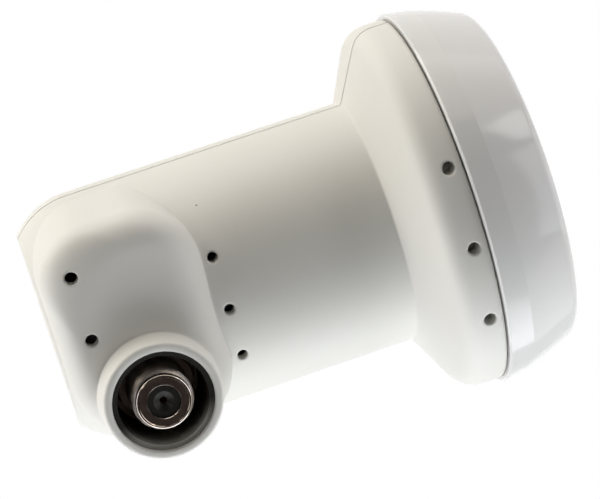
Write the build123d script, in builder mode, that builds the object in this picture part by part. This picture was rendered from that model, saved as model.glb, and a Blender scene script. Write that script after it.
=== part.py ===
"""Satellite LNB: feed horn and converter in a two-part plastic housing with one F connector.

Frame, in mm: +X runs along the feed axis to the radome, -Y out of the connector, +Z across.
The origin is on the feed axis, at the middle of the neck that the dish arm's clamp holds.
"""

import os
from math import acos, asin, atan2, cos, radians, sin, sqrt, tan

from build123d import *

os.makedirs("parts", exist_ok=True)

# Housing outside
neck_radius = 20.0
neck_length = 30.5
shoulder_length = 5.5
shoulder_round = 4.0
collar_radius = 30.4
collar_length = 5.45
rear_length = 24.65
rear_corner_radius = 12.0
rear_corner_drop = 4.2
cover_wall = 2.0
parting_gap = 0.2

# Connector box and boot of the lower cover
box_height = 23.0
box_draft = 1.0
box_step = 0.15
box_overlap = 1.1
box_low_inset = 2.0
box_edge_drop = 5.0
box_edge_steps = 5
box_front_round = 6.6
box_side_round = 5.0
box_rear_round = 3.9
box_front_corner = 10.0
box_rear_corner = 9.0
box_low_rear_corner = 13.5
box_low_front_corner = 11.0
box_face_corner = 0.8
box_face_straight = 1.7
box_face_low_rear_corner = 8.0
box_face_low_front_corner = 3.0
boot_rise = 4.7
boot_bore_radius = 7.85
boot_rim = 1.25
boot_draft = 6.0
boot_rim_round = 0.5
connector_setback = 12.8
connector_offset = 8.0

# Drain holes of the lower cover
drain_radius = 1.0
neck_drain_radius = 0.85
drain_angles = (-24.0, 0.0, 24.0)
collar_drain_inset = 2.1
neck_drain_inset = 2.3
box_drain_inset = 5.5
box_drain_height = 13.2
box_drain_pitch = 10.0

# Radome cap and the spigot it snaps over
spigot_length = 3.0
spigot_root = 3.2
spigot_step = 1.4
spigot_wall = 1.8
snap_height = 0.45
cap_gap = 0.3
cap_fit = 0.3
cap_overhang = 0.8
cap_wall = 1.8
cap_band_length = 4.2
cap_band_taper = 0.7
cap_length = 13.0
cap_front_inset = 3.9
cap_bulge = 0.15
cap_corner_round = 2.0
cap_crown = 1.2
cap_edge = 0.3
cap_crease_round = 1.0
cap_press = 1.2
seal_radius = 0.85
seal_squeeze = 0.05

# Horn casting
guide_radius = 8.75
guide_wall = 1.65
flare_length = 22.0
flare_radius = 13.0
horn_wall = 1.4
horn_plate = 1.8
rim_length = 5.9
rim_wall = 2.0
lip_length = 11.2
ring_lengths = (8.6, 7.0)
casting_fit = 0.2
pocket_wall = 1.5
pocket_floor = 2.0
pocket_clearance = 2.0
connector_seat_drop = 0.6
connector_pad_radius = 7.2

# Shield lid, its gasket and screws
lid_thickness = 1.3
lid_inset = 0.8
lid_gasket_thickness = 0.4
lid_clearance = 1.4
lid_tube_wall = 1.4
screw_radius = 1.1
screw_head_radius = 2.0
screw_head_height = 1.0
screw_slot = 0.5
screw_length = 7.0
screw_boss_bite = 0.3
screw_angles = (75.0, 195.0, 315.0)
screw_fit = 0.1

# Circuit board and what it carries
board_thickness = 0.8
board_fit = 0.2
probe_radius = 0.6
probe_reach = 5.6
probe_length = 10.0
probe_clearance = 0.6
transistor_size = 1.8
transistor_height = 0.9
input_transistor_angles = (282.0, 348.0)
second_transistor_angle = 258.0
chip_size = 3.0
chip_height = 0.9
converter_angle = 232.0
crystal_length = 3.2
crystal_width = 2.5
crystal_angle = 170.0
regulator_length = 4.5
regulator_width = 2.5
regulator_height = 1.5
regulator_angle = 116.0
choke_radius = 1.3
choke_height = 2.0
choke_angle = 96.0
capacitor_length = 1.6
capacitor_width = 0.8
capacitor_angles = (18.0, 28.0, 38.0, 48.0)
lead_gap = 0.02

# F connector, 3/8 inch thread with 32 turns to the inch
thread_radius = 4.7625
thread_lead = 0.45
barrel_length = 9.2
barrel_bore_radius = 2.6
hex_width = 11.0
hex_thickness = 1.9
flange_radius = 6.8
flange_thickness = 0.6
gasket_thickness = 1.0
gasket_wall = 0.8
gasket_setback = 0.5
shank_radius = 4.0
contact_radius = 1.1
contact_bore_radius = 0.55
contact_tail_radius = 0.5
contact_tail_length = 4.6
contact_cover = 1.0
socket_length = 9.0
socket_depth = 7.0
dimple_radius = 1.6
dimple_depth = 0.6
face_rim = 0.55
face_step = 0.2
insulator_setback = 0.5
insulator_length = 5.6
insert_fit = 0.05

# Inner ribs and snap tabs of the covers
rib_thickness = 1.6
rib_places = (-6.0, 8.0)
rear_rib_inset = 9.0
tab_places = (-27.0, 1.0)
tab_length = 8.0
tab_thickness = 1.1
tab_reach = 3.6
tab_hook = 0.6
tab_hook_length = 1.4
tab_clearance = 0.5
tab_root = 9.0

# Stations along the feed axis
neck_front = neck_length / 2
neck_rear = -neck_length / 2
seam = neck_front + shoulder_length + collar_length
rear_end = neck_rear - rear_length
connector_x = rear_end + connector_setback
connector_z = -connector_offset
collar_drain_x = seam - collar_drain_inset
neck_drain_x = neck_rear + neck_drain_inset
box_drain_x = rear_end + box_drain_inset
lid_back = rear_end + cover_wall + lid_clearance
lid_front = lid_back + lid_thickness
pocket_rim = lid_front + lid_gasket_thickness
board_back = connector_x + contact_tail_radius + lead_gap
board_front = board_back + board_thickness
floor_front = board_front + pocket_floor
shoulder_slope = atan2(collar_radius - neck_radius, shoulder_length)
inner_shift = cover_wall * tan(shoulder_slope / 2)
spigot_radius = collar_radius - spigot_step
spigot_inner = spigot_radius - spigot_wall
spigot_end = seam + spigot_length
horn_radius = spigot_inner - casting_fit
plate_back = neck_front + shoulder_length + inner_shift + casting_fit + horn_wall / 2
plate_front = plate_back + horn_plate
rim_front = plate_front + rim_length
cap_radius = collar_radius + cap_overhang
cap_front_radius = cap_radius - cap_front_inset
cap_rear = seam + cap_gap
cap_crease = cap_rear + cap_band_length
cap_front = cap_rear + cap_length

# Heights above the feed axis along the connector's axis
pocket_radius = neck_radius - cover_wall - pocket_clearance
pocket_inner = pocket_radius - pocket_wall
connector_seat_height = pocket_radius - connector_seat_drop
boot_mouth = box_height + boot_rise
gasket_top = connector_seat_height + gasket_thickness
flange_top = gasket_top + flange_thickness
hex_top = flange_top + hex_thickness
barrel_top = hex_top + barrel_length
shank_end = connector_seat_height - pocket_wall
insulator_top = barrel_top - insulator_setback
insulator_split = insulator_top - insulator_length

connector_axis = Axis((connector_x, 0, connector_z), (0, 1, 0))
connector_plane = Plane(origin=(connector_x, 0, connector_z), x_dir=(1, 0, 0), z_dir=(0, 0, 1))
tube_outer = guide_radius + lid_tube_wall
screw_boss_radius = (pocket_inner + screw_boss_bite - tube_outer - casting_fit) / 2
screw_circle = tube_outer + casting_fit + screw_boss_radius
screw_spots = [(screw_circle * cos(radians(a)), -screw_circle * sin(radians(a))) for a in screw_angles]


def rear_corner(inset):
    """Ends and middle of the rounded rear corner: (along the axis, out from it)."""
    reach = sqrt(rear_corner_radius**2 - (rear_corner_radius - rear_corner_drop) ** 2)
    centre_x = rear_end + reach
    centre_r = neck_radius - rear_corner_radius
    radius = rear_corner_radius - inset
    turn = acos((centre_x - rear_end - inset) / radius)
    middle = (turn + radians(90)) / 2
    return (
        (rear_end + inset, centre_r + radius * sin(turn)),
        (centre_x - radius * cos(middle), centre_r + radius * sin(middle)),
        (centre_x, centre_r + radius),
    )


def sleeve_form(inset):
    """Turned form of the housing: rear end, neck, shoulder and collar, drawn in by the inset."""
    corner_end, corner_middle, corner_start = rear_corner(inset)
    shift = inset * tan(shoulder_slope / 2)
    radius = neck_radius - inset
    outer = collar_radius - inset
    front = seam + inset
    with BuildPart() as form:
        with BuildSketch(Plane.XZ) as profile:
            with BuildLine():
                Polyline((front, 0), (rear_end + inset, 0), corner_end)
                ThreePointArc(corner_end, corner_middle, corner_start)
                Polyline(
                    corner_start,
                    (neck_front + shift, radius),
                    (neck_front + shoulder_length + shift, outer),
                    (front, outer),
                    (front, 0),
                )
            make_face()
            crest = profile.vertices().sort_by_distance((neck_front + shoulder_length + shift, outer))[0]
            fillet(crest, radius=shoulder_round - inset)
        revolve(axis=Axis.X)
    return form.part


box_face_length = neck_rear + box_overlap - box_front_round - rear_end - box_rear_round
box_face_rear_corner = box_face_length - box_face_corner - box_face_straight


def box_section(inset, height, turn):
    """Section of the connector box at a height, past so much turn of its rolled edge."""
    drawn = inset + box_step + height * tan(radians(box_draft))
    rolled = 1 - cos(turn)
    front = neck_rear + box_overlap - drawn - (box_front_round - inset) * rolled
    rear = rear_end + drawn + (box_rear_round - inset) * rolled
    top = neck_radius - drawn - (box_side_round - inset) * rolled
    low = box_low_inset - neck_radius + drawn + (box_side_round - inset) * rolled
    front_turn = (box_front_corner - inset) * (1 - rolled) + box_face_corner * rolled
    rear_turn = (box_rear_corner - inset) * (1 - rolled) + box_face_rear_corner * rolled
    low_rear_turn = (box_low_rear_corner - inset) * (1 - rolled) + box_face_low_rear_corner * rolled
    low_front_turn = (box_low_front_corner - inset) * (1 - rolled) + box_face_low_front_corner * rolled
    with BuildSketch(Plane.XZ.offset(height)) as section:
        with BuildLine():
            Line((front, low + low_front_turn), (front, top - front_turn))
            JernArc((front, top - front_turn), (0, 1), front_turn, 90)
            Line((front - front_turn, top), (rear + rear_turn, top))
            JernArc((rear + rear_turn, top), (-1, 0), rear_turn, 90)
            Line((rear, top - rear_turn), (rear, low + low_rear_turn))
            JernArc((rear, low + low_rear_turn), (0, -1), low_rear_turn, 90)
            Line((rear + low_rear_turn, low), (front - low_front_turn, low))
            JernArc((front - low_front_turn, low), (1, 0), low_front_turn, 90)
        make_face()
    return section.sketch


def box_form(inset):
    """Drafted connector box on the feed axis with its rolled edge, drawn in by the inset."""
    shoulder = box_height - box_edge_drop
    rolled_edge = []
    for step in range(box_edge_steps + 1):
        turn = radians(90) * step / box_edge_steps
        height = shoulder + (box_edge_drop - inset) * sin(turn)
        rolled_edge.append(box_section(inset, height, turn))
    with BuildPart() as form:
        loft(sections=[box_section(inset, 0, 0), rolled_edge[0]], ruled=True)
        loft(sections=rolled_edge)
    return form.part


def crown_middle(front, radius):
    """Point half way along the shallow dome that ends at the given front and radius."""
    ball = (radius**2 + cap_crown**2) / (2 * cap_crown)
    half_turn = asin(radius / ball) / 2
    return (front + cap_crown - ball + ball * cos(half_turn), ball * sin(half_turn))


def revolved(*points):
    """Solid turned about the feed axis from (along, out) points."""
    with BuildPart() as form:
        with BuildSketch(Plane.XZ):
            with BuildLine():
                Polyline(*points, close=True)
            make_face()
        revolve(axis=Axis.X)
    return form.part


def turned_on_connector(*points):
    """Solid turned about the connector's axis from (out, height) points."""
    with BuildPart() as form:
        with BuildSketch(connector_plane):
            with BuildLine():
                Polyline(*[(out, -height) for out, height in points], close=True)
            make_face()
        revolve(axis=connector_axis)
    return form.part


def rib_ring(place, inner, outer):
    """Ring across the housing that steadies the casting inside it."""
    front = place + rib_thickness / 2
    back = place - rib_thickness / 2
    return revolved((back, inner), (front, inner), (front, outer), (back, outer))


snap_place = seam + 0.6 * spigot_length
collar_middle = collar_radius - cover_wall / 2
neck_middle = neck_radius - cover_wall / 2
guide_outer = guide_radius + guide_wall
spigot = revolved(
    (seam - spigot_root, spigot_inner),
    (spigot_end, spigot_inner),
    (spigot_end, spigot_radius),
    (snap_place + snap_height, spigot_radius),
    (snap_place, spigot_radius + snap_height),
    (snap_place - snap_height, spigot_radius),
    (seam, spigot_radius),
    (seam - spigot_step / 2, collar_middle),
    (seam - spigot_root, collar_middle),
)
tab_outer = neck_radius - cover_wall - tab_clearance
tab_inner = tab_outer - tab_thickness
hook_start = tab_reach - tab_hook_length

# Lower cover: half neck and collar, connector box, boot and drain holes in one moulding
tube_end = connector_seat_height + casting_fit
boot_radius = boot_bore_radius + boot_rim
boot_foot = box_height - 1.5 * cover_wall
boot_foot_radius = boot_radius + (boot_mouth - boot_foot) * tan(radians(boot_draft))
with BuildPart() as lower_cover:
    add(sleeve_form(0))
    split(bisect_by=Plane.XZ, keep=Keep.TOP)
    add(box_form(0))
    add(sleeve_form(cover_wall), mode=Mode.SUBTRACT)
    add(box_form(cover_wall), mode=Mode.SUBTRACT)
    add(spigot)
    for place in rib_places:
        add(rib_ring(place, guide_outer + casting_fit, neck_middle))
    with BuildSketch(connector_plane) as boot_section:
        with BuildLine():
            Polyline(
                (boot_bore_radius, -tube_end),
                (boot_radius, -tube_end),
                (boot_radius, -boot_foot),
                (boot_foot_radius, -boot_foot),
                (boot_radius, -boot_mouth),
                (boot_bore_radius, -boot_mouth),
                close=True,
            )
        make_face()
        fillet(boot_section.vertices().sort_by_distance((boot_radius, -boot_mouth))[0], radius=boot_rim_round)
    revolve(axis=connector_axis)
    add(
        turned_on_connector(
            (0, 0),
            (boot_bore_radius, 0),
            (boot_bore_radius, 2 * boot_mouth),
            (0, 2 * boot_mouth),
        ),
        mode=Mode.SUBTRACT,
    )
    with BuildSketch(Plane.XZ):
        with Locations(*[(collar_drain_x, collar_radius * sin(radians(a))) for a in drain_angles]):
            Circle(drain_radius)
        with Locations(*[(neck_drain_x, neck_radius * sin(radians(a))) for a in drain_angles]):
            Circle(neck_drain_radius)
        with Locations((box_drain_x, box_drain_height), (box_drain_x, box_drain_height - box_drain_pitch)):
            Circle(drain_radius)
    extrude(amount=2 * collar_radius, mode=Mode.SUBTRACT)
    for place in tab_places:
        for side in (1, -1):
            with BuildSketch(Plane.YZ.offset(place)):
                with Locations((-(hook_start + tab_reach) / 2, side * (tab_outer + tab_hook / 2))):
                    Rectangle(tab_hook_length + 2 * tab_clearance, tab_hook + 2 * tab_clearance)
            extrude(amount=tab_length / 2 + tab_clearance, both=True, mode=Mode.SUBTRACT)
    split(bisect_by=Plane.XZ.offset(parting_gap / 2), keep=Keep.TOP)

lower_cover.part.label = "lower_cover"
export_step(lower_cover.part, "parts/lower_cover.step")

# Upper cover: plain far half of the housing with its snap tabs
with BuildPart() as upper_cover:
    add(sleeve_form(0))
    add(sleeve_form(cover_wall), mode=Mode.SUBTRACT)
    add(spigot)
    for place in rib_places:
        add(rib_ring(place, guide_outer + casting_fit, neck_middle))
    add(rib_ring(rear_end + rear_rib_inset, pocket_radius + casting_fit, neck_middle))
    split(bisect_by=Plane.XZ.offset(-parting_gap / 2), keep=Keep.BOTTOM)
    for place in tab_places:
        for side in (1, -1):
            with BuildSketch(Plane.YZ.offset(place)):
                with BuildLine():
                    Polyline(
                        (tab_root, side * tab_inner),
                        (-tab_reach, side * tab_inner),
                        (-tab_reach, side * tab_outer),
                        (-hook_start - tab_hook / 3, side * (tab_outer + tab_hook)),
                        (-hook_start, side * (tab_outer + tab_hook)),
                        (-hook_start, side * tab_outer),
                        (tab_root, side * tab_outer),
                        close=True,
                    )
                make_face()
            extrude(amount=tab_length / 2, both=True)

upper_cover.part.label = "upper_cover"
export_step(upper_cover.part, "parts/upper_cover.step")

# Radome cap: glossy moulding that snaps over the spigot and presses on the seal
skirt_radius = spigot_radius + cap_fit
skirt_end = spigot_end + cap_fit
crease_radius = cap_radius - cap_band_taper
cap_middle = ((cap_crease + cap_front) / 2, (crease_radius + cap_front_radius) / 2 + cap_bulge)
cap_inner_front = cap_front - cap_wall
cap_slope = atan2(crease_radius - cap_front_radius, cap_front - cap_crease)
cap_inner_radius = cap_front_radius + cap_wall * tan(cap_slope) - cap_wall / cos(cap_slope)
crease_inner = crease_radius - cap_wall
seal_middle = horn_radius - rim_wall / 2
seal_place = rim_front + seal_squeeze + seal_radius
press_end = seal_place + seal_radius + seal_squeeze
with BuildPart() as radome_cap:
    with BuildSketch(Plane.XZ) as cap_section:
        with BuildLine():
            Polyline(
                (cap_inner_front + cap_crown, 0),
                (cap_front + cap_crown, 0),
            )
            ThreePointArc(
                (cap_front + cap_crown, 0),
                crown_middle(cap_front, cap_front_radius),
                (cap_front, cap_front_radius),
            )
            ThreePointArc((cap_front, cap_front_radius), cap_middle, (cap_crease, crease_radius))
            Polyline(
                (cap_crease, crease_radius),
                (cap_rear + cap_edge, cap_radius),
                (cap_rear, cap_radius - cap_edge),
                (cap_rear, skirt_radius),
                (skirt_end, skirt_radius),
                (cap_crease, crease_inner),
                (cap_inner_front, cap_inner_radius),
            )
            ThreePointArc(
                (cap_inner_front, cap_inner_radius),
                crown_middle(cap_inner_front, cap_inner_radius),
                (cap_inner_front + cap_crown, 0),
            )
        make_face()
        front_corner = cap_section.vertices().sort_by_distance((cap_front, cap_front_radius))[0]
        fillet(front_corner, radius=cap_corner_round)
        crease = cap_section.vertices().sort_by_distance((cap_crease, crease_radius))[0]
        fillet(crease, radius=cap_crease_round)
    revolve(axis=Axis.X)
    add(
        revolved(
            (press_end, seal_middle - cap_press / 2),
            (cap_inner_front + cap_wall / 2, seal_middle - cap_press / 2),
            (cap_inner_front + cap_wall / 2, seal_middle + cap_press / 2),
            (press_end, seal_middle + cap_press / 2),
        )
    )
    add(
        revolved(
            (snap_place - 2 * snap_height, spigot_radius),
            (snap_place + 2 * snap_height, spigot_radius),
            (snap_place + snap_height, skirt_radius + snap_height),
            (snap_place - snap_height, skirt_radius + snap_height),
        ),
        mode=Mode.SUBTRACT,
    )

radome_cap.part.label = "radome_cap"
export_step(radome_cap.part, "parts/radome_cap.step")

# Radome seal: O-ring between the horn's rim and the cap's press ring
with BuildPart() as radome_seal:
    with BuildSketch(Plane.XZ):
        with Locations((seal_place, seal_middle)):
            Circle(seal_radius)
    revolve(axis=Axis.X)

radome_seal.part.label = "radome_seal"
export_step(radome_seal.part, "parts/radome_seal.step")

# Horn casting: corrugated feed horn, waveguide and board pocket in one piece
lip = plate_front + lip_length
throat = lip - flare_length
flare_slope = (flare_radius - guide_radius) / flare_length
flare_at_plate = guide_radius + flare_slope * (plate_front - throat)
flare_at_back = guide_radius + flare_slope * (plate_back - throat)
horn_points = [
    (board_front, guide_radius),
    (throat, guide_radius),
    (lip, flare_radius),
    (lip, flare_radius + horn_wall),
    (plate_front, flare_at_plate + horn_wall),
]
ring_pitch = (horn_radius - rim_wall - flare_at_plate) / (len(ring_lengths) + 1)
for ring, ring_length in enumerate(ring_lengths, start=1):
    ring_radius = flare_at_plate + ring * ring_pitch
    horn_points.append((plate_front, ring_radius))
    horn_points.append((plate_front + ring_length, ring_radius))
    horn_points.append((plate_front + ring_length, ring_radius + horn_wall))
    horn_points.append((plate_front, ring_radius + horn_wall))
horn_points += [
    (plate_front, horn_radius - rim_wall),
    (rim_front, horn_radius - rim_wall),
    (rim_front, horn_radius),
    (plate_back, horn_radius),
    (plate_back, flare_at_back + guide_wall),
    (throat, guide_outer),
    (board_front, guide_outer),
]
with BuildPart() as horn_casting:
    add(revolved(*horn_points))
    with BuildSketch(Plane.YZ.offset(pocket_rim)):
        Circle(pocket_radius)
    extrude(amount=floor_front - pocket_rim)
    add(
        turned_on_connector(
            (0, guide_radius),
            (connector_pad_radius, guide_radius),
            (connector_pad_radius, connector_seat_height),
            (0, connector_seat_height),
        )
    )
    with BuildSketch(Plane.YZ.offset(pocket_rim)):
        Circle(pocket_inner)
    extrude(amount=board_front - pocket_rim, mode=Mode.SUBTRACT)
    with BuildSketch(Plane.YZ.offset(pocket_rim)):
        with Locations(*screw_spots):
            Circle(screw_boss_radius)
    extrude(amount=board_front - pocket_rim)
    with BuildSketch(Plane.YZ.offset(pocket_rim)):
        with Locations(*screw_spots):
            Circle(screw_radius + screw_fit / 2)
    extrude(amount=screw_length, mode=Mode.SUBTRACT)
    with BuildSketch(Plane.YZ.offset(board_front)):
        Circle(guide_radius)
    extrude(amount=throat - board_front, mode=Mode.SUBTRACT)
    add(
        turned_on_connector(
            (0, shank_end),
            (shank_radius + insert_fit, shank_end),
            (shank_radius + insert_fit, connector_seat_height),
            (boot_radius + casting_fit, connector_seat_height),
            (boot_radius + casting_fit, 2 * connector_seat_height),
            (0, 2 * connector_seat_height),
        ),
        mode=Mode.SUBTRACT,
    )
    add(
        turned_on_connector(
            (0, pocket_inner / 2),
            (barrel_bore_radius, pocket_inner / 2),
            (barrel_bore_radius, connector_seat_height),
            (0, connector_seat_height),
        ),
        mode=Mode.SUBTRACT,
    )

horn_casting.part.label = "horn_casting"
export_step(horn_casting.part, "parts/horn_casting.step")

# Circuit board across the end of the waveguide
with BuildPart() as circuit_board:
    with BuildSketch(Plane.YZ.offset(board_back)):
        Circle(pocket_inner - board_fit)
        Circle(guide_radius, mode=Mode.SUBTRACT)
        with Locations(*screw_spots):
            Circle(screw_boss_radius + board_fit, mode=Mode.SUBTRACT)
    extrude(amount=board_thickness - lead_gap)

circuit_board.part.label = "circuit_board"
export_step(circuit_board.part, "parts/circuit_board.step")

# Parts on the board stand on its back face, each at an angle round the waveguide
board_plane = Plane(origin=(board_back - lead_gap, 0, 0), x_dir=(0, 1, 0), z_dir=(-1, 0, 0))
parts_circle = (tube_outer + pocket_inner) / 2
standing = (Align.CENTER, Align.CENTER, Align.MIN)

with BuildPart() as vertical_probe:
    with BuildSketch(Plane.XY.offset(guide_radius - probe_reach)):
        with Locations((board_back - lead_gap - probe_radius, 0)):
            Circle(probe_radius)
    extrude(amount=probe_length)

vertical_probe.part.label = "vertical_probe"
export_step(vertical_probe.part, "parts/vertical_probe.step")

with BuildPart() as horizontal_probe:
    with BuildSketch(Plane.XZ.offset(probe_reach - guide_radius)):
        with Locations((board_back - lead_gap - probe_radius, 0)):
            Circle(probe_radius)
    extrude(amount=-probe_length)

horizontal_probe.part.label = "horizontal_probe"
export_step(horizontal_probe.part, "parts/horizontal_probe.step")

with BuildPart(board_plane) as input_transistors:
    for angle in input_transistor_angles:
        with PolarLocations(parts_circle, 1, start_angle=angle):
            Box(transistor_size, transistor_size, transistor_height, align=standing)

input_transistors.part.label = "input_transistors"
export_step(input_transistors.part, "parts/input_transistors.step")

with BuildPart(board_plane) as second_transistor:
    with PolarLocations(parts_circle, 1, start_angle=second_transistor_angle):
        Box(transistor_size, transistor_size, transistor_height, align=standing)

second_transistor.part.label = "second_transistor"
export_step(second_transistor.part, "parts/second_transistor.step")

with BuildPart(board_plane) as converter_chip:
    with PolarLocations(parts_circle, 1, start_angle=converter_angle):
        Box(chip_size, chip_size, chip_height, align=standing)

converter_chip.part.label = "converter_chip"
export_step(converter_chip.part, "parts/converter_chip.step")

with BuildPart(board_plane) as reference_crystal:
    with PolarLocations(parts_circle, 1, start_angle=crystal_angle):
        Box(crystal_width, crystal_length, chip_height, align=standing)

reference_crystal.part.label = "reference_crystal"
export_step(reference_crystal.part, "parts/reference_crystal.step")

with BuildPart(board_plane) as voltage_regulator:
    with PolarLocations(parts_circle, 1, start_angle=regulator_angle):
        Box(regulator_width, regulator_length, regulator_height, align=standing)

voltage_regulator.part.label = "voltage_regulator"
export_step(voltage_regulator.part, "parts/voltage_regulator.step")

with BuildPart(board_plane) as feed_choke:
    with PolarLocations(parts_circle, 1, start_angle=choke_angle):
        Cylinder(choke_radius, choke_height, align=standing)

feed_choke.part.label = "feed_choke"
export_step(feed_choke.part, "parts/feed_choke.step")

with BuildPart(board_plane) as board_capacitors:
    for angle in capacitor_angles:
        with PolarLocations(parts_circle, 1, start_angle=angle):
            Box(capacitor_width, capacitor_length, capacitor_width, align=standing)

board_capacitors.part.label = "board_capacitors"
export_step(board_capacitors.part, "parts/board_capacitors.step")

# Shield lid: closes the pocket, and its tube closes the waveguide behind the probes
slot_width = 2 * probe_radius + 2 * probe_clearance
slot_height = 2 * probe_radius + probe_clearance
with BuildPart() as shield_lid:
    with BuildSketch(Plane.YZ.offset(lid_back)):
        Circle(pocket_radius - lid_inset)
        with Locations(*screw_spots):
            Circle(screw_boss_radius)
    extrude(amount=lid_thickness)
    with BuildSketch(Plane.YZ.offset(lid_front)):
        Circle(tube_outer)
        Circle(guide_radius, mode=Mode.SUBTRACT)
    extrude(amount=board_back - lid_front - insert_fit)
    with BuildSketch(Plane.YZ.offset(board_back)):
        with Locations((0, guide_radius)):
            Rectangle(slot_width, 4 * lid_tube_wall)
        with Locations((guide_radius, 0)):
            Rectangle(4 * lid_tube_wall, slot_width)
    extrude(amount=-slot_height, mode=Mode.SUBTRACT)
    with Locations(Plane.YZ.offset(lid_back)):
        with Locations(*screw_spots):
            Cylinder(screw_radius + screw_fit, 4 * lid_thickness, mode=Mode.SUBTRACT)
            Cone(
                screw_head_radius + screw_fit,
                screw_radius + screw_fit,
                screw_head_height,
                align=standing,
                mode=Mode.SUBTRACT,
            )

shield_lid.part.label = "shield_lid"
export_step(shield_lid.part, "parts/shield_lid.step")

with BuildPart() as lid_gasket:
    with BuildSketch(Plane.YZ.offset(lid_front + insert_fit / 2)):
        Circle(pocket_radius - lid_inset)
        Circle(pocket_inner, mode=Mode.SUBTRACT)
        with Locations(*screw_spots):
            Circle(screw_boss_radius)
            Circle(screw_radius + screw_fit, mode=Mode.SUBTRACT)
    extrude(amount=lid_gasket_thickness - insert_fit)

lid_gasket.part.label = "lid_gasket"
export_step(lid_gasket.part, "parts/lid_gasket.step")

with BuildPart() as lid_screws:
    with Locations(Plane.YZ.offset(lid_back)):
        with Locations(*screw_spots):
            Cone(screw_head_radius, screw_radius, screw_head_height, align=standing)
            Cylinder(screw_radius, screw_length, align=standing)
            Box(screw_slot, 2.4 * screw_radius, 2 * screw_slot, mode=Mode.SUBTRACT)
            Box(2.4 * screw_radius, screw_slot, 2 * screw_slot, mode=Mode.SUBTRACT)

lid_screws.part.label = "lid_screws"
export_step(lid_screws.part, "parts/lid_screws.step")

# F connector: threaded barrel with hexagon, flange and shank
front_lead = thread_radius - thread_lead
with BuildPart() as f_connector_body:
    add(
        turned_on_connector(
            (barrel_bore_radius, shank_end),
            (shank_radius, shank_end),
            (shank_radius, gasket_top),
            (flange_radius, gasket_top),
            (flange_radius, flange_top),
            (front_lead, flange_top),
            (front_lead, hex_top + thread_lead),
            (thread_radius, hex_top + 2 * thread_lead),
            (thread_radius, barrel_top - 1.5 * thread_lead),
            (front_lead, barrel_top - thread_lead / 2),
            (front_lead - thread_lead / 3, barrel_top),
            (front_lead - face_rim, barrel_top),
            (front_lead - face_rim - face_step, barrel_top - face_step),
            (barrel_bore_radius + face_step / 2, barrel_top - face_step),
            (barrel_bore_radius, barrel_top - 1.5 * face_step),
        )
    )
    with BuildSketch(Plane.XZ.offset(flange_top - flange_thickness / 3)):
        with Locations((connector_x, connector_z)):
            RegularPolygon(hex_width / 2, 6, major_radius=False)
            Circle(front_lead - face_rim, mode=Mode.SUBTRACT)
    extrude(amount=hex_thickness + flange_thickness / 3)

f_connector_body.part.label = "f_connector_body"
export_step(f_connector_body.part, "parts/f_connector_body.step")

insert_radius = barrel_bore_radius - insert_fit
contact_top = insulator_top - contact_cover
socket_end = contact_top - socket_length
with BuildPart() as f_connector_front_insulator:
    add(
        turned_on_connector(
            (contact_radius + insert_fit, insulator_split),
            (insert_radius, insulator_split),
            (insert_radius, insulator_top),
            (dimple_radius, insulator_top),
            (contact_bore_radius + insert_fit, insulator_top - dimple_depth),
            (contact_bore_radius + insert_fit, contact_top + insert_fit),
            (contact_radius + insert_fit, contact_top + insert_fit),
        )
    )

f_connector_front_insulator.part.label = "f_connector_front_insulator"
export_step(f_connector_front_insulator.part, "parts/f_connector_front_insulator.step")

with BuildPart() as f_connector_rear_insulator:
    add(
        turned_on_connector(
            (contact_tail_radius + insert_fit, shank_end),
            (insert_radius, shank_end),
            (insert_radius, insulator_split - insert_fit),
            (contact_radius + insert_fit, insulator_split - insert_fit),
            (contact_radius + insert_fit, socket_end - insert_fit),
            (contact_tail_radius + insert_fit, socket_end - insert_fit),
        )
    )

f_connector_rear_insulator.part.label = "f_connector_rear_insulator"
export_step(f_connector_rear_insulator.part, "parts/f_connector_rear_insulator.step")

with BuildPart() as f_connector_contact:
    add(
        turned_on_connector(
            (0, shank_end - contact_tail_length),
            (contact_tail_radius, shank_end - contact_tail_length),
            (contact_tail_radius, socket_end),
            (contact_radius, socket_end),
            (contact_radius, contact_top),
            (contact_bore_radius, contact_top),
            (contact_bore_radius, contact_top - socket_depth),
            (0, contact_top - socket_depth),
        )
    )

f_connector_contact.part.label = "f_connector_contact"
export_step(f_connector_contact.part, "parts/f_connector_contact.step")

# Rubber gasket under the flange, its sleeve lining the boot
sleeve_radius = boot_bore_radius - insert_fit
sleeve_top = boot_mouth - gasket_setback
with BuildPart() as f_connector_gasket:
    add(
        turned_on_connector(
            (shank_radius + insert_fit, connector_seat_height),
            (sleeve_radius, connector_seat_height),
            (sleeve_radius, sleeve_top),
            (sleeve_radius - gasket_wall, sleeve_top),
            (sleeve_radius - gasket_wall, gasket_top),
            (shank_radius + insert_fit, gasket_top),
        )
    )

f_connector_gasket.part.label = "f_connector_gasket"
export_step(f_connector_gasket.part, "parts/f_connector_gasket.step")
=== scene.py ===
from math import atan2, cos, degrees, hypot, pi, radians, sin

import bmesh
import bpy
from mathutils import Matrix, Vector


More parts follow.
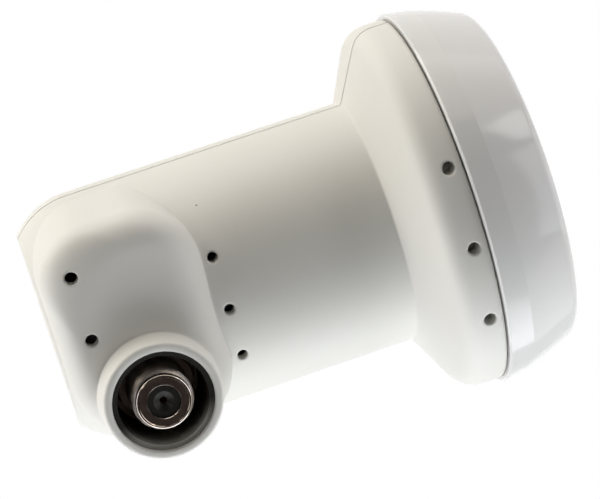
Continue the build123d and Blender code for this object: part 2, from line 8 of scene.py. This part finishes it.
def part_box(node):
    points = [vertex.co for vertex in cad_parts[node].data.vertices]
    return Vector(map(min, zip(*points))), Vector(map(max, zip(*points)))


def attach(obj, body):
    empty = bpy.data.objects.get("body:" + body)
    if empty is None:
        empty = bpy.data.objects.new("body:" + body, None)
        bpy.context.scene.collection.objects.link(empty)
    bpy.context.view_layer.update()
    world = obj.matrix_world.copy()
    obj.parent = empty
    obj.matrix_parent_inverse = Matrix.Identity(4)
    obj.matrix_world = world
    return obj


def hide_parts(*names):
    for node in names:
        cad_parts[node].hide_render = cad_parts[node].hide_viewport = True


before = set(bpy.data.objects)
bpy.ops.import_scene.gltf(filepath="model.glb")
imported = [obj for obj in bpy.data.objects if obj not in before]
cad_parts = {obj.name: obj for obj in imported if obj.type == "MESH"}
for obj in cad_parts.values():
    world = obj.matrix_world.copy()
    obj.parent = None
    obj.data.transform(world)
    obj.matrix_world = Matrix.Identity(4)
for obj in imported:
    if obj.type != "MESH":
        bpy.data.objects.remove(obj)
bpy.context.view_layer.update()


# Lower and upper cover: the two halves of the housing, moulded in weatherproof off-white plastic
# with a finely eroded mould texture and slightly soft edges, snapped together along the parting
# line of the neck. A few dark specks of regrind and dust lie in the surface.
def new_finish(name):
    finish = bpy.data.materials.new(name)
    finish.use_nodes = True
    return finish, finish.node_tree, finish.node_tree.nodes["Principled BSDF"]


# Each input is given a value, or the output of another node to be linked to it.
def fill(tree, node, inputs):
    for socket, given in inputs.items():
        if isinstance(given, bpy.types.NodeSocket):
            tree.links.new(given, node.inputs[socket])
        else:
            node.inputs[socket].default_value = given


def add_node(tree, kind, inputs):
    node = tree.nodes.new("ShaderNode" + kind)
    fill(tree, node, inputs)
    return node


def piece_space(tree):
    return add_node(tree, "TexCoord", {}).outputs["Object"]


def noise(tree, place, scale, detail):
    return add_node(tree, "TexNoise", {"Vector": place, "Scale": scale, "Detail": detail}).outputs["Fac"]


def two_tone(tree, share, dark, light):
    ramp = add_node(tree, "ValToRGB", {"Fac": share})
    ramp.color_ramp.elements[0].position = 0.3
    ramp.color_ramp.elements[0].color = (*dark, 1)
    ramp.color_ramp.elements[1].position = 0.7
    ramp.color_ramp.elements[1].color = (*light, 1)
    return ramp.outputs["Color"]


def spread(tree, share, low, high):
    return add_node(tree, "MapRange", {"Value": share, "To Min": low, "To Max": high}).outputs["Result"]


def maths(tree, operation, first, second):
    node = add_node(tree, "Math", {0: first, 1: second})
    node.operation = operation
    return node.outputs["Value"]


def blend(tree, share, first, second):
    node = add_node(tree, "Mix", {})
    node.data_type = "RGBA"
    fill(tree, node, {0: share, 6: first, 7: second})
    return node.outputs[2]


def dress(finish, names):
    for name in names:
        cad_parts[name].data.materials[0] = finish


speck_size = 0.03
speck_share = 0.3
edge_softness = 0.0007
cover_plastic, tree, shader = new_finish("cover_plastic")
place = piece_space(tree)
mottle = noise(tree, place, 70, 4)
cream = two_tone(tree, mottle, (0.77, 0.757, 0.714), (0.79, 0.778, 0.738))
cells = add_node(tree, "TexVoronoi", {"Vector": place, "Scale": 150})
near = maths(tree, "LESS_THAN", cells.outputs["Distance"], speck_size)
lot = add_node(tree, "SeparateColor", {"Color": cells.outputs["Color"]})
few = maths(tree, "LESS_THAN", lot.outputs["Red"], speck_share)
speck = maths(tree, "MULTIPLY", near, few)
soft_edges = add_node(tree, "Bevel", {"Radius": edge_softness})
soft_edges.samples = 8
erosion = add_node(tree, "Bump", {
    "Strength": 0.35,
    "Distance": 0.00003,
    "Height": noise(tree, place, 4200, 3),
    "Normal": soft_edges.outputs["Normal"],
})
fill(tree, shader, {
    "Specular IOR Level": 0.4,
    "Base Color": blend(tree, speck, cream, (0.33, 0.31, 0.28, 1)),
    "Roughness": spread(tree, mottle, 0.46, 0.56),
    "Normal": erosion.outputs["Normal"],
})
dress(cover_plastic, ("lower_cover", "upper_cover"))


# Radome cap: the glossy front that keeps rain out of the horn, one smooth moulding snapped over
# the front of the covers. Its polished skin is a little uneven, so reflections wander on it.
def relief(tree, height, strength, distance):
    bump = add_node(tree, "Bump", {"Height": height, "Strength": strength, "Distance": distance})
    return bump.outputs["Normal"]


cap_plastic, tree, shader = new_finish("cap_plastic")
place = piece_space(tree)
cloud = noise(tree, place, 45, 2)
fill(tree, shader, {
    "IOR": 1.52,
    "Base Color": two_tone(tree, cloud, (0.75, 0.745, 0.735), (0.77, 0.765, 0.755)),
    "Roughness": spread(tree, noise(tree, place, 900, 4), 0.09, 0.15),
    "Normal": relief(tree, cloud, 0.25, 0.0006),
})
dress(cap_plastic, ("radome_cap",))


# F connector: a turned brass barrel with a hexagon, plated with bright nickel and pressed into the
# casting's pad. It carries the 3/8 inch thread with 32 turns to the inch for the cable's nut, and
# its end has a short plain lead, a rounded lip and a sunk face. Heights run from the feed axis.
axis_x = -0.0271
axis_z = -0.008
bore_radius = 0.0026
bore_edge = 0.00012
bore_dip = 0.0001
shank_base = 0.0139
shank_radius = 0.004
flange_base = 0.0164
flange_radius = 0.0068
flange_edge = 0.00008
hex_base = 0.017
hex_top = 0.0189
hex_half = 0.0055
hex_round = 0.0066
hex_top_radius = 0.0058
hex_slope = 1.7
hex_rows = 8
hex_turn = 60
inch = 0.0254
crest = inch * 3 / 16
pitch = inch / 32
thread_depth = 0.00045
root_radius = crest - thread_depth
crest_flat = 0.16
flank_slope = 1.45
thread_rows = 116
thread_start = 0.0198
barrel_end = 0.0281
plain_lead = 0.0011
thread_low = thread_start - thread_depth
thread_high = barrel_end - plain_lead
lip = 0.00042
lip_steps = 6
spin_steps = 144
rim_inner = 0.00386
face_outer = 0.00376
face_sink = 0.0002
face_height = barrel_end - face_sink
smooth_below = 0.5
outline = [
    (bore_radius, shank_base),
    (shank_radius, shank_base),
    (shank_radius, flange_base),
    (flange_radius - flange_edge, flange_base),
    (flange_radius, flange_base + flange_edge),
    (flange_radius, hex_base - flange_edge),
    (flange_radius - flange_edge, hex_base),
]
for row in range(hex_rows + 1):
    outline.append((hex_round, hex_base + (hex_top - hex_base) * row / hex_rows))
outline += [(hex_top_radius, hex_top), (root_radius, hex_top), (root_radius, thread_low)]
for row in range(thread_rows + 1):
    outline.append((crest, thread_low + (thread_high - thread_low) * row / thread_rows))
for step in range(lip_steps + 1):
    bend = pi / 2 * step / lip_steps
    outline.append((root_radius - lip + lip * cos(bend), barrel_end - lip + lip * sin(bend)))
outline += [
    (rim_inner, barrel_end),
    (face_outer, face_height),
    (bore_radius + bore_edge, face_height),
    (bore_radius + bore_edge / 2, face_height - bore_dip / 5),
    (bore_radius, face_height - bore_dip),
]
turned = bmesh.new()
corners = [turned.verts.new((axis_x + radius, -height, axis_z)) for radius, height in outline]
lines = [turned.edges.new((corners[i - 1], corners[i])) for i in range(len(corners))]
bmesh.ops.spin(
    turned,
    geom=corners + lines,
    cent=(axis_x, 0, axis_z),
    axis=(0, -1, 0),
    angle=2 * pi,
    steps=spin_steps,
    use_merge=True,
)
bmesh.ops.remove_doubles(turned, verts=turned.verts, dist=1e-7)
for corner in turned.verts:
    away_x = corner.co.x - axis_x
    away_z = corner.co.z - axis_z
    radius = hypot(away_x, away_z)
    height = -corner.co.y
    angle = atan2(away_z, away_x)
    reach = radius
    if abs(radius - hex_round) < 1e-5:
        off_corner = abs((degrees(angle) + hex_turn / 2) % hex_turn - hex_turn / 2)
        flat = hex_half / cos(radians(hex_turn / 2 - off_corner))
        reach = min(flat, hex_top_radius + (hex_top - height) * hex_slope)
    if abs(radius - crest) < 1e-6:
        turn = (height / pitch - angle / (2 * pi)) % 1
        groove = min(max(flank_slope * (abs(2 * turn - 1) - crest_flat), 0), 1)
        lead_in = root_radius + max(height - thread_low, 0)
        lead_out = root_radius + max(thread_high - height, 0)
        reach = min(crest - thread_depth * groove, lead_in, lead_out)
    corner.co.x = axis_x + away_x * reach / radius
    corner.co.z = axis_z + away_z * reach / radius
bmesh.ops.recalc_face_normals(turned, faces=turned.faces)
for face in turned.faces:
    face.smooth = True
for edge in turned.edges:
    edge.smooth = edge.calc_face_angle(0) < smooth_below
barrel_mesh = bpy.data.meshes.new("threaded_connector")
turned.to_mesh(barrel_mesh)
turned.free()
threaded_connector = bpy.data.objects.new("threaded_connector", barrel_mesh)
bpy.context.scene.collection.objects.link(threaded_connector)


def parts_of(tree, place):
    return add_node(tree, "SeparateXYZ", {"Vector": place}).outputs


connector_nickel, tree, shader = new_finish("connector_nickel")
place = piece_space(tree)
stain = noise(tree, place, 600, 5)
cut_dullness = add_node(tree, "MapRange", {
    "Value": parts_of(tree, place)["Y"],
    "From Min": lip - barrel_end,
    "From Max": -thread_high,
    "To Max": 0.28,
})
fill(tree, shader, {
    "Metallic": 1.0,
    "Base Color": two_tone(tree, stain, (0.5, 0.43, 0.38), (0.66, 0.61, 0.56)),
    "Roughness": maths(tree, "ADD", spread(tree, stain, 0.07, 0.18), cut_dullness.outputs["Result"]),
    "Normal": relief(tree, noise(tree, place, 9000, 2), 0.15, 0.00001),
})
barrel_mesh.materials.append(connector_nickel)
dress(connector_nickel, ("f_connector_body",))
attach(threaded_connector, "root")
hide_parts("f_connector_body")


# Rubber cup: the black seal under the connector's flange, with a sleeve that lines the boot, pressed
# in from the mouth. Its lip is painted blackest as painted shade, and deeper down it is a duller dark
# grey. The lower side of the sleeve is painted pale near the lip as painted light, as if lit from
# above, and it fades out a few millimetres down.
def fade(tree, value, none_at, full_at):
    node = add_node(tree, "MapRange", {"Value": value, "From Min": none_at, "From Max": full_at})
    node.interpolation_type = "SMOOTHSTEP"
    return node.outputs["Result"]


cup_low, cup_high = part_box("f_connector_gasket")
cup_width = cup_high[2] - cup_low[2]
lit_depth = 0.008
lit_patch_end = cup_low[2] + 0.4 * cup_width
lit_patch_full = cup_low[2] + 0.12 * cup_width
rubber_painted_light_and_shade, tree, shader = new_finish("rubber_painted_light_and_shade")
place = piece_space(tree)
sides = parts_of(tree, place)
# Painted light: the sleeve's lower side is painted pale near the mouth, as if lit from above, and fades
# out with depth.
at_lip = fade(tree, sides["Y"], cup_low[1] + lit_depth, cup_low[1])
below = fade(tree, sides["Z"], lit_patch_end, lit_patch_full)
lit_lower_side = maths(tree, "MULTIPLY", at_lip, below)
# This noise breaks up the painted light patch, and also sets the rubber's roughness and bumps.
patch_and_grain = noise(tree, place, 1400, 4)
painted_light_patch = maths(tree, "MULTIPLY", lit_lower_side, spread(tree, patch_and_grain, 0.75, 1.0))
# Painted shade: the lip is painted the blackest, and deeper down the rubber is a duller dark grey.
shaded_lip_tone = blend(tree, at_lip, (0.11, 0.1, 0.075, 1), (0.02, 0.018, 0.015, 1))
fill(tree, shader, {
    "Specular IOR Level": 0.25,
    "Base Color": blend(tree, painted_light_patch, shaded_lip_tone, (0.38, 0.37, 0.33, 1)),
    "Roughness": spread(tree, patch_and_grain, 0.62, 0.82),
    "Normal": relief(tree, patch_and_grain, 0.5, 0.00003),
})
dress(rubber_painted_light_and_shade, ("f_connector_gasket",))


# Insulators and cap seal: two bushes of black plastic that hold the connector's contact in the middle
# of the barrel, and the rubber O-ring that the cap presses on the horn's rim.
def plain_finish(slot, names, tones, metal, roughness, scale, height):
    finish, tree, shader = new_finish(slot)
    grain = noise(tree, piece_space(tree), scale, 4)
    fill(tree, shader, {
        "Metallic": metal,
        "Specular IOR Level": 0.25,
        "Base Color": two_tone(tree, grain, *tones),
        "Roughness": spread(tree, grain, *roughness),
        "Normal": relief(tree, grain, 0.5, height),
    })
    dress(finish, names)


insulators = ("f_connector_front_insulator", "f_connector_rear_insulator")
black_plastic = ((0.014, 0.013, 0.012), (0.024, 0.022, 0.020))
plain_finish("insulator_plastic", insulators, black_plastic, 0, (0.3, 0.42), 2500, 0.00001)
seal_black = ((0.012, 0.011, 0.010), (0.022, 0.021, 0.019))
plain_finish("black_rubber", ("radome_seal",), seal_black, 0, (0.7, 0.85), 1500, 0.00003)


# Horn and lid: two castings of grey aluminium with the skin of the mould, closed on each other by
# zinc-plated steel screws, with a ring of dark conductive rubber between them.
cast_grey = ((0.56, 0.57, 0.58), (0.68, 0.69, 0.70))
plain_finish("cast_aluminium", ("horn_casting", "shield_lid"), cast_grey, 1, (0.38, 0.55), 900, 0.00006)
gasket_grey = ((0.16, 0.16, 0.17), (0.25, 0.25, 0.26))
plain_finish("shielding_rubber", ("lid_gasket",), gasket_grey, 0, (0.65, 0.8), 3000, 0.00002)
zinc_grey = ((0.58, 0.58, 0.57), (0.72, 0.71, 0.69))
plain_finish("screw_steel", ("lid_screws",), zinc_grey, 1, (0.28, 0.42), 2500, 0.000006)


# Pins: the two probes in the waveguide and the connector's contact, turned or bent from brass and
# plated with gold, soldered to the board.
pins = ("vertical_probe", "horizontal_probe", "f_connector_contact")
gold = ((0.72, 0.53, 0.22), (0.84, 0.66, 0.33))
plain_finish("probe_brass", pins, gold, 1, (0.2, 0.32), 2500, 0.000005)


# Circuit board and its parts: laminate under green solder resist, and on it black moulded packages,
# a plated steel can for the crystal, a dark ferrite choke and tan ceramic capacitors, all soldered.
resist_green = ((0.02, 0.11, 0.05), (0.03, 0.15, 0.07))
plain_finish("board_laminate", ("circuit_board",), resist_green, 0, (0.3, 0.45), 1200, 0.00001)
packages = ("input_transistors", "second_transistor", "converter_chip", "voltage_regulator")
package_black = ((0.018, 0.018, 0.019), (0.035, 0.035, 0.036))
plain_finish("chip_plastic", packages, package_black, 0, (0.5, 0.65), 5000, 0.000008)
can_steel = ((0.6, 0.6, 0.61), (0.72, 0.72, 0.73))
plain_finish("crystal_steel", ("reference_crystal",), can_steel, 1, (0.25, 0.38), 3000, 0.000004)
ferrite = ((0.06, 0.06, 0.065), (0.11, 0.11, 0.12))
plain_finish("choke_ferrite", ("feed_choke",), ferrite, 0, (0.55, 0.7), 4000, 0.00001)
ceramic_tan = ((0.5, 0.37, 0.25), (0.6, 0.46, 0.33))
plain_finish("capacitor_ceramic", ("board_capacitors",), ceramic_tan, 0, (0.35, 0.5), 4000, 0.000004)


# Floor: a plain pale sheet well below the part. Near the part it is matt paint that takes the
# shadow, and farther out it is the white backdrop of a light tent. The camera and glass see that
# white on all sides, and mirrors only where it lies behind the part.
def white_share(tree, backwards):
    mirrors_full = 0.4
    behind = add_node(tree, "MapRange", {"Value": backwards, "From Max": mirrors_full}).outputs["Result"]
    path = add_node(tree, "LightPath", {}).outputs
    mirrored = maths(tree, "MULTIPLY", path["Is Glossy Ray"], behind)
    direct = maths(tree, "MAXIMUM", path["Is Camera Ray"], path["Is Transmission Ray"])
    return maths(tree, "MAXIMUM", direct, mirrored)


floor_height = -0.65
floor_size = 20
paint_reach = 0.4
white_reach = 1.0
bpy.ops.mesh.primitive_plane_add(size=floor_size, location=(0, 0, floor_height))
floor = bpy.context.object
floor.name = "floor"
floor_white, tree, paint = new_finish("floor_white")
fill(tree, paint, {"Base Color": (0.8, 0.8, 0.8, 1), "Roughness": 0.9})
place = piece_space(tree)
away = add_node(tree, "VectorMath", {0: place})
away.operation = "LENGTH"
backdrop = fade(tree, away.outputs["Value"], paint_reach, white_reach)
covered = add_node(tree, "MixShader", {
    "Fac": maths(tree, "MULTIPLY", white_share(tree, parts_of(tree, place)["Y"]), backdrop),
    1: paint.outputs["BSDF"],
    2: add_node(tree, "Emission", {"Strength": 1.0}).outputs["Emission"],
})
fill(tree, tree.nodes["Material Output"], {"Surface": covered.outputs["Shader"]})
floor.data.materials.append(floor_white)


# Light tent: white cloth behind the part, little light from the camera's side, and softboxes in a
# ring about the line of sight, so that faces towards the camera are the darkest. Two small windows
# give the cap its bright patch and the thread its sheen.
tent_dim = 0.04
studio = bpy.data.worlds.new("studio")
bpy.context.scene.world = studio
studio.use_nodes = True
tree = studio.node_tree
outwards = parts_of(tree, add_node(tree, "TexCoord", {}).outputs["Generated"])
fill(tree, tree.nodes["Background"], {
    "Color": (1, 1, 1, 1),
    "Strength": spread(tree, white_share(tree, outwards["Y"]), tent_dim, 1.0),
})
softboxes = {
    "top_softbox": ((0, 0.13, 0.59), 0.5, 1.7, (1, 0.96, 0.92)),
    "top_left_softbox": ((-0.41, 0.13, 0.42), 0.5, 2.3, (1, 0.97, 0.86)),
    "top_right_softbox": ((0.42, -0.04, 0.42), 0.5, 0.75, (1, 0.95, 0.85)),
    "right_softbox": ((0.58, -0.15, -0.02), 0.5, 1.5, (0.94, 0.94, 1)),
    "bottom_right_softbox": ((0.42, -0.05, -0.42), 0.5, 0.55, (1, 1, 0.9)),
    "bottom_softbox": ((0, -0.12, -0.46), 0.5, 1.65, (0.89, 0.94, 1)),
    "bottom_left_softbox": ((-0.42, -0.05, -0.42), 0.5, 1.5, (0.98, 0.98, 1)),
    "left_softbox": ((-0.6, -0.02, 0), 0.5, 1.3, (0.94, 0.94, 1)),
    "front_softbox": ((-0.12, -0.36, -0.44), 0.4, 0.4, (0.95, 1, 0.95)),
    "right_window": ((0.475, -0.215, 0.29), 0.12, 0.13, (1, 1, 1)),
    "left_window": ((-0.33, -0.42, 0.27), 0.12, 0.13, (1, 0.94, 0.82)),
}
for name, (spot, size, power, tint) in softboxes.items():
    lamp = bpy.data.lights.new(name, "AREA")
    lamp.size = size
    lamp.energy = power
    lamp.color = tint
    holder = bpy.data.objects.new(name, lamp)
    holder.location = spot
    holder.rotation_euler = (-Vector(spot)).to_track_quat("-Z", "Y").to_euler()
    holder.visible_camera = False
    holder.visible_glossy = name != "front_softbox"
    bpy.context.scene.collection.objects.link(holder)


# Dark cloth: black cloth that hangs on the camera's side of the tent and closes it there.
# Only mirrors show it, so that the nickel's end has something dark to reflect.
cloth_size = 2
cloth_middle = (0, -0.8, -0.2)
bpy.ops.mesh.primitive_plane_add(size=cloth_size, location=cloth_middle, rotation=(pi / 2, 0, 0))
dark_cloth = bpy.context.object
dark_cloth.name = "dark_cloth"
cloth_black, tree, shader = new_finish("cloth_black")
fill(tree, shader, {"Base Color": (0.06, 0.045, 0.04, 1), "Roughness": 1.0})
dark_cloth.data.materials.append(cloth_black)
dark_cloth.visible_camera = False
dark_cloth.visible_diffuse = False
dark_cloth.visible_shadow = False


# Camera: a long lens at the photo's angle, in front of the connector and above it, with the part
# turned a little in the picture. Its directions are the picture's right, its up and the view ahead.
camera_place = (-0.042904, -0.382441, 0.115549)
right = Vector((0.94177, -0.19482, -0.27409))
up = Vector((0.31684, 0.24107, 0.91733))
ahead = Vector((0.11264, 0.95075, -0.28876))
lens = bpy.data.cameras.new("camera")
lens.sensor_width = 36
lens.lens = 150
lens.clip_start = 0.01
camera = bpy.data.objects.new("camera", lens)
facing = Matrix((right, up, -ahead)).transposed().to_4x4()
camera.matrix_world = Matrix.Translation(camera_place) @ facing
bpy.context.scene.collection.objects.link(camera)
bpy.context.scene.camera = camera
bpy.context.scene.view_settings.view_transform = "Standard"
